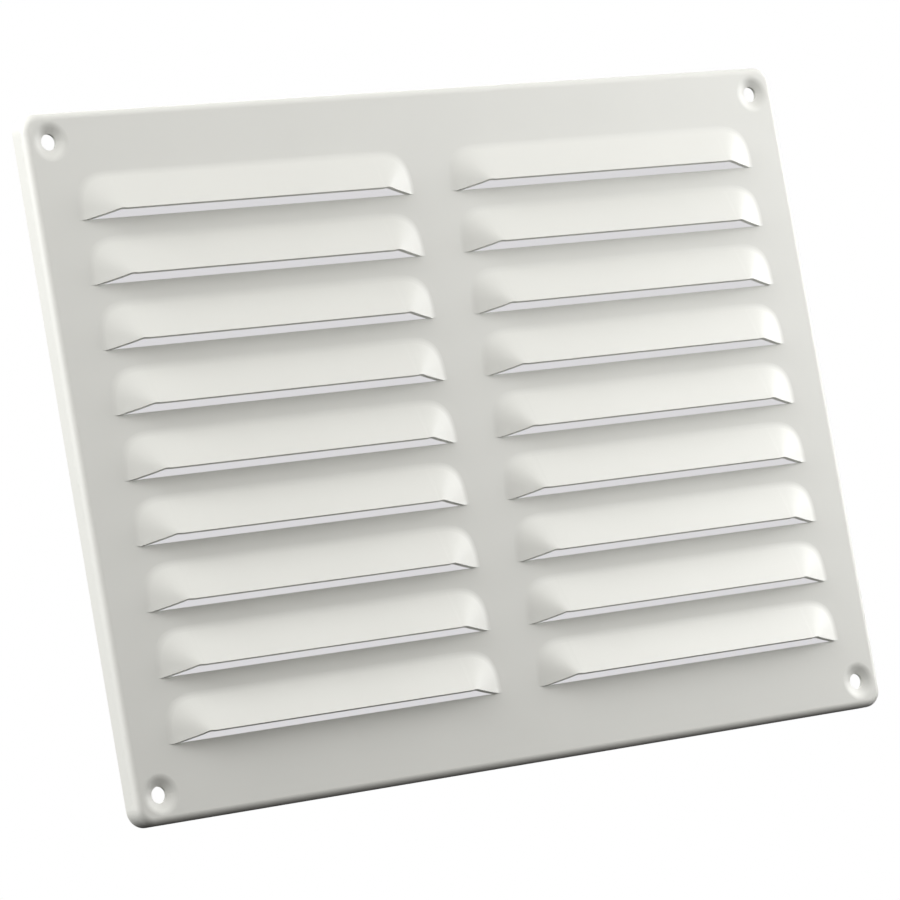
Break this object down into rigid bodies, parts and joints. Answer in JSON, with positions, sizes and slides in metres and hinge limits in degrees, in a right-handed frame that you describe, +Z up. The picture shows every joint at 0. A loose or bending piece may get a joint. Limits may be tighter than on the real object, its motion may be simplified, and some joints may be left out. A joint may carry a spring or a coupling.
{
  "type": "louvred grille",
  "caption": "White painted sheet-metal wall grille: a shallow round-cornered tray with columns of pressed louvre hoods that open downwards, and a dimpled screw hole in each corner.",
  "frame": {"origin": "centre of the four screw holes, half way through the sheet at the holes", "axes": "+Z up as hung on a wall, +X to the right seen from the front, front faces -Y"},
  "size_m": [0.305, 0.0124, 0.229],
  "materials": {
    "white_powder_coat": "satin powder coat"
  },
  "bodies": {
    "root": {"louvre_plate": "white_powder_coat"}
  },
  "joints": []
}
